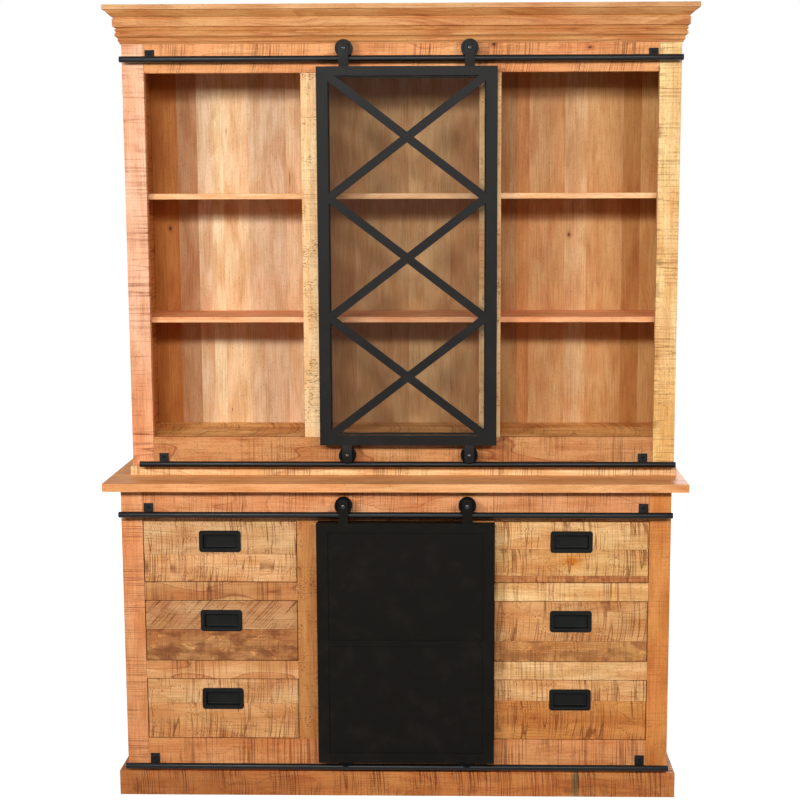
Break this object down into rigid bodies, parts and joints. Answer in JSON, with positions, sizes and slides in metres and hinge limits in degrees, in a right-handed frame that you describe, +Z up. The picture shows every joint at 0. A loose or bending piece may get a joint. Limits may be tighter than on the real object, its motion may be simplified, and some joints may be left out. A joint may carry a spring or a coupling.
{
  "type": "kitchen dresser",
  "caption": "Rough-sawn wooden dresser: open hutch over a base with drawer banks and a cupboard, each middle bay behind a black steel door that rolls sideways on rods.",
  "frame": {"origin": "on the floor, in the middle of the overall width and depth", "axes": "front faces -Y, +X to the viewer's right, +Z up"},
  "size_m": [1.557, 0.416, 2.1],
  "materials": {
    "wood": "rough-sawn, oiled",
    "inner_wood": "sawn, oiled",
    "steel": "satin black powder coat",
    "wheel_steel": "semi-gloss black",
    "glass": "clear float glass"
  },
  "bodies": {
    "carcass": {"base_side_left": "wood", "base_side_right": "wood", "base_divider_left": "wood", "base_divider_right": "wood", "base_top_rail": "wood", "base_floor": "wood", "drawer_web_left_lower": "wood", "drawer_web_left_upper": "wood", "drawer_web_right_lower": "wood", "drawer_web_right_upper": "wood", "base_back": "inner_wood", "cupboard_shelf": "inner_wood", "counter_top": "wood", "plinth": "wood", "hutch_side_left": "wood", "hutch_side_right": "wood", "hutch_divider_left": "wood", "hutch_divider_right": "wood", "hutch_header": "wood", "hutch_floor": "wood", "hutch_back": "inner_wood", "shelf_lower": "wood", "shelf_upper": "wood", "crown_moulding": "wood", "crown_cap": "wood", "hutch_skirt": "wood", "base_track_top": "steel", "base_track_bottom": "steel", "hutch_track_top": "steel", "hutch_track_bottom": "steel"},
    "upper_door": {"upper_door_frame": "steel", "upper_door_glass": "glass"},
    "lower_door": {"lower_door_frame": "steel", "lower_door_panel": "steel"},
    "drawer_left_1": {"drawer_front_left_1": "wood", "drawer_box_left_1": "inner_wood", "drawer_pull_left_1": "steel"},
    "drawer_left_2": {"drawer_front_left_2": "wood", "drawer_box_left_2": "inner_wood", "drawer_pull_left_2": "steel"},
    "drawer_left_3": {"drawer_front_left_3": "wood", "drawer_box_left_3": "inner_wood", "drawer_pull_left_3": "steel"},
    "drawer_right_1": {"drawer_front_right_1": "wood", "drawer_box_right_1": "inner_wood", "drawer_pull_right_1": "steel"},
    "drawer_right_2": {"drawer_front_right_2": "wood", "drawer_box_right_2": "inner_wood", "drawer_pull_right_2": "steel"},
    "drawer_right_3": {"drawer_front_right_3": "wood", "drawer_box_right_3": "inner_wood", "drawer_pull_right_3": "steel"},
    "upper_door_wheel_top_left": {"upper_door_wheel_top_left": "wheel_steel"},
    "upper_door_wheel_top_right": {"upper_door_wheel_top_right": "wheel_steel"},
    "upper_door_wheel_bottom_left": {"upper_door_wheel_bottom_left": "wheel_steel"},
    "upper_door_wheel_bottom_right": {"upper_door_wheel_bottom_right": "wheel_steel"},
    "lower_door_wheel_top_left": {"lower_door_wheel_top_left": "wheel_steel"},
    "lower_door_wheel_top_right": {"lower_door_wheel_top_right": "wheel_steel"},
    "lower_door_wheel_bottom_left": {"lower_door_wheel_bottom_left": "wheel_steel"},
    "lower_door_wheel_bottom_right": {"lower_door_wheel_bottom_right": "wheel_steel"}
  },
  "joints": [
    {"name": "upper_door_slide", "type": "slide", "parent": "carcass", "child": "upper_door", "axis": [1, 0, 0], "range_m": [-0.4817, 0.4483]},
    {"name": "lower_door_slide", "type": "slide", "parent": "carcass", "child": "lower_door", "axis": [1, 0, 0], "range_m": [-0.4928, 0.4372]},
    {"name": "drawer_left_1_slide", "type": "slide", "parent": "carcass", "child": "drawer_left_1", "axis": [0, -1, 0], "range_m": [0, 0.26]},
    {"name": "drawer_left_2_slide", "type": "slide", "parent": "carcass", "child": "drawer_left_2", "axis": [0, -1, 0], "range_m": [0, 0.26]},
    {"name": "drawer_left_3_slide", "type": "slide", "parent": "carcass", "child": "drawer_left_3", "axis": [0, -1, 0], "range_m": [0, 0.26]},
    {"name": "drawer_right_1_slide", "type": "slide", "parent": "carcass", "child": "drawer_right_1", "axis": [0, 1, 0], "range_m": [-0.26, 0]},
    {"name": "drawer_right_2_slide", "type": "slide", "parent": "carcass", "child": "drawer_right_2", "axis": [0, 1, 0], "range_m": [-0.26, 0]},
    {"name": "drawer_right_3_slide", "type": "slide", "parent": "carcass", "child": "drawer_right_3", "axis": [0, 1, 0], "range_m": [-0.26, 0]},
    {"name": "upper_door_wheel_top_left_spin", "type": "hinge", "parent": "upper_door", "child": "upper_door_wheel_top_left", "pos_m": [-0.1378, -0.1, 1.9875], "axis": [0, 1, 0], "continuous": true},
    {"name": "upper_door_wheel_top_right_spin", "type": "hinge", "parent": "upper_door", "child": "upper_door_wheel_top_right", "pos_m": [0.1882, -0.1, 1.9875], "axis": [0, 1, 0], "continuous": true},
    {"name": "upper_door_wheel_bottom_left_spin", "type": "hinge", "parent": "upper_door", "child": "upper_door_wheel_bottom_left", "pos_m": [-0.1378, -0.1, 0.922], "axis": [0, 1, 0], "continuous": true},
    {"name": "upper_door_wheel_bottom_right_spin", "type": "hinge", "parent": "upper_door", "child": "upper_door_wheel_bottom_right", "pos_m": [0.1882, -0.1, 0.922], "axis": [0, 1, 0], "continuous": true},
    {"name": "lower_door_wheel_top_left_spin", "type": "hinge", "parent": "lower_door", "child": "lower_door_wheel_top_left", "pos_m": [-0.14367, -0.19, 0.8025], "axis": [0, 1, 0], "continuous": true},
    {"name": "lower_door_wheel_top_right_spin", "type": "hinge", "parent": "lower_door", "child": "lower_door_wheel_top_right", "pos_m": [0.18233, -0.19, 0.8025], "axis": [0, 1, 0], "continuous": true},
    {"name": "lower_door_wheel_bottom_left_spin", "type": "hinge", "parent": "lower_door", "child": "lower_door_wheel_bottom_left", "pos_m": [-0.14367, -0.19, 0.1105], "axis": [0, 1, 0], "continuous": true},
    {"name": "lower_door_wheel_bottom_right_spin", "type": "hinge", "parent": "lower_door", "child": "lower_door_wheel_bottom_right", "pos_m": [0.18233, -0.19, 0.1105], "axis": [0, 1, 0], "continuous": true}
  ],
  "couplings": [
    {"joint": "upper_door_wheel_top_left_spin", "follows": "upper_door_slide", "rad_per_m": 57.143},
    {"joint": "upper_door_wheel_top_right_spin", "follows": "upper_door_slide", "rad_per_m": 57.143},
    {"joint": "upper_door_wheel_bottom_left_spin", "follows": "upper_door_slide", "rad_per_m": 57.143},
    {"joint": "upper_door_wheel_bottom_right_spin", "follows": "upper_door_slide", "rad_per_m": 57.143},
    {"joint": "lower_door_wheel_top_left_spin", "follows": "lower_door_slide", "rad_per_m": 57.143},
    {"joint": "lower_door_wheel_top_right_spin", "follows": "lower_door_slide", "rad_per_m": 57.143},
    {"joint": "lower_door_wheel_bottom_left_spin", "follows": "lower_door_slide", "rad_per_m": 57.143},
    {"joint": "lower_door_wheel_bottom_right_spin", "follows": "lower_door_slide", "rad_per_m": 57.143}
  ]
}
